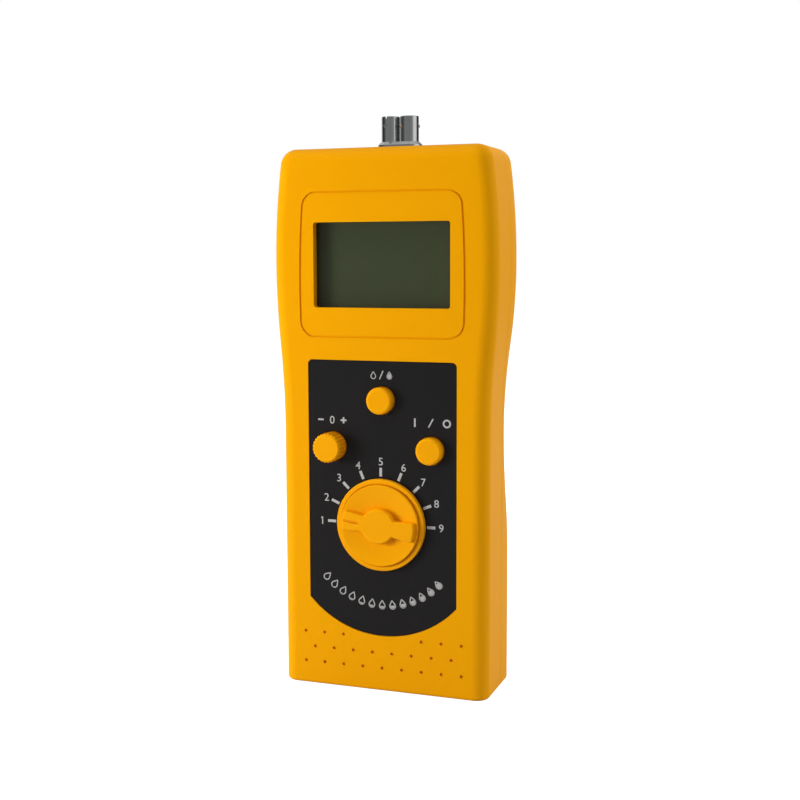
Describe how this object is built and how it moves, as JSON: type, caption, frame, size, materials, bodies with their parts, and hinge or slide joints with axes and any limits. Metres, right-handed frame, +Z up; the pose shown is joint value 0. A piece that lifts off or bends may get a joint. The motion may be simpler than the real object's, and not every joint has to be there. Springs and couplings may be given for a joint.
{
  "type": "moisture meter",
  "caption": "Upright handheld moisture meter with a display, a nine-position selector dial, a zero knob, push buttons and twin probe sockets on top.",
  "frame": {"origin": "middle of the base, on the joint between the front and rear shells", "axes": "+Z up along the body, the front face looks towards -Y, +X to the right seen from the front"},
  "size_m": [0.0692, 0.0304, 0.1707],
  "materials": {
    "housing_orange": "satin moulded ABS",
    "control_orange": "satin moulded ABS",
    "panel_black": "satin printed film",
    "window_clear": "clear polished",
    "lcd_glass": "glossy, unlit liquid crystal",
    "frame_black": "matt",
    "strip_rubber": "matt",
    "board_green": "satin solder mask on laminate",
    "chip_black": "matt",
    "trimmer_blue": "satin",
    "switch_black": "matt",
    "plunger_white": "satin",
    "insulator_white": "satin",
    "screw_steel": "plated",
    "can_metal": "satin",
    "socket_chrome": "polished plating",
    "nickel": "plated",
    "contact_brass": "polished",
    "lead_red": "insulated wire",
    "battery_case": "printed metal jacket"
  },
  "bodies": {
    "housing": {"front_shell": "housing_orange", "rear_shell": "housing_orange", "housing_screws": "screw_steel", "control_panel": "panel_black", "display_window": "window_clear", "lcd_panel": "lcd_glass", "lcd_frame": "frame_black", "contact_strips": "strip_rubber", "main_board": "board_green", "board_screws": "screw_steel", "main_chip": "chip_black", "amplifier_chip": "chip_black", "crystal": "can_metal", "capacitors": "chip_black", "trimmers": "trimmer_blue", "rotary_switch_body": "switch_black", "zero_pot_body": "switch_black", "power_switch": "switch_black", "mode_switch": "switch_black", "battery_9v": "battery_case", "battery_terminals": "nickel", "battery_snap": "frame_black", "battery_leads": "lead_red", "socket_flange": "socket_chrome", "socket_retainer": "nickel", "socket_barrel_left": "socket_chrome", "socket_barrel_right": "socket_chrome", "socket_insulator_left": "insulator_white", "socket_insulator_right": "insulator_white", "socket_contact_left": "contact_brass", "socket_contact_right": "contact_brass", "probe_leads": "lead_red"},
    "selector": {"selector_knob": "control_orange", "rotary_switch_shaft": "screw_steel"},
    "zero_control": {"zero_knob": "control_orange", "zero_pot_shaft": "plunger_white"},
    "power_key": {"power_button": "control_orange", "power_plunger": "plunger_white"},
    "mode_key": {"mode_button": "control_orange", "mode_plunger": "plunger_white"},
    "door": {"battery_door": "housing_orange"}
  },
  "joints": [
    {"name": "selector_turn", "type": "hinge", "parent": "housing", "child": "selector", "pos_m": [0, -0.0157, 0.05075], "axis": [0, 1, 0], "range_deg": [-7, 173]},
    {"name": "zero_turn", "type": "hinge", "parent": "housing", "child": "zero_control", "pos_m": [-0.0156, -0.0157, 0.07337], "axis": [0, 1, 0], "range_deg": [-150, 150]},
    {"name": "power_press", "type": "slide", "parent": "housing", "child": "power_key", "axis": [0, 1, 0], "range_m": [0, 0.0006], "stiffness_N_per_m": 1500, "springref_m": -0.0006},
    {"name": "mode_press", "type": "slide", "parent": "housing", "child": "mode_key", "axis": [0, 1, 0], "range_m": [0, 0.0006], "stiffness_N_per_m": 1500, "springref_m": -0.0006},
    {"name": "battery_door_slide", "type": "slide", "parent": "housing", "child": "door", "axis": [0, 0, -1], "range_m": [0, 0.038]}
  ]
}
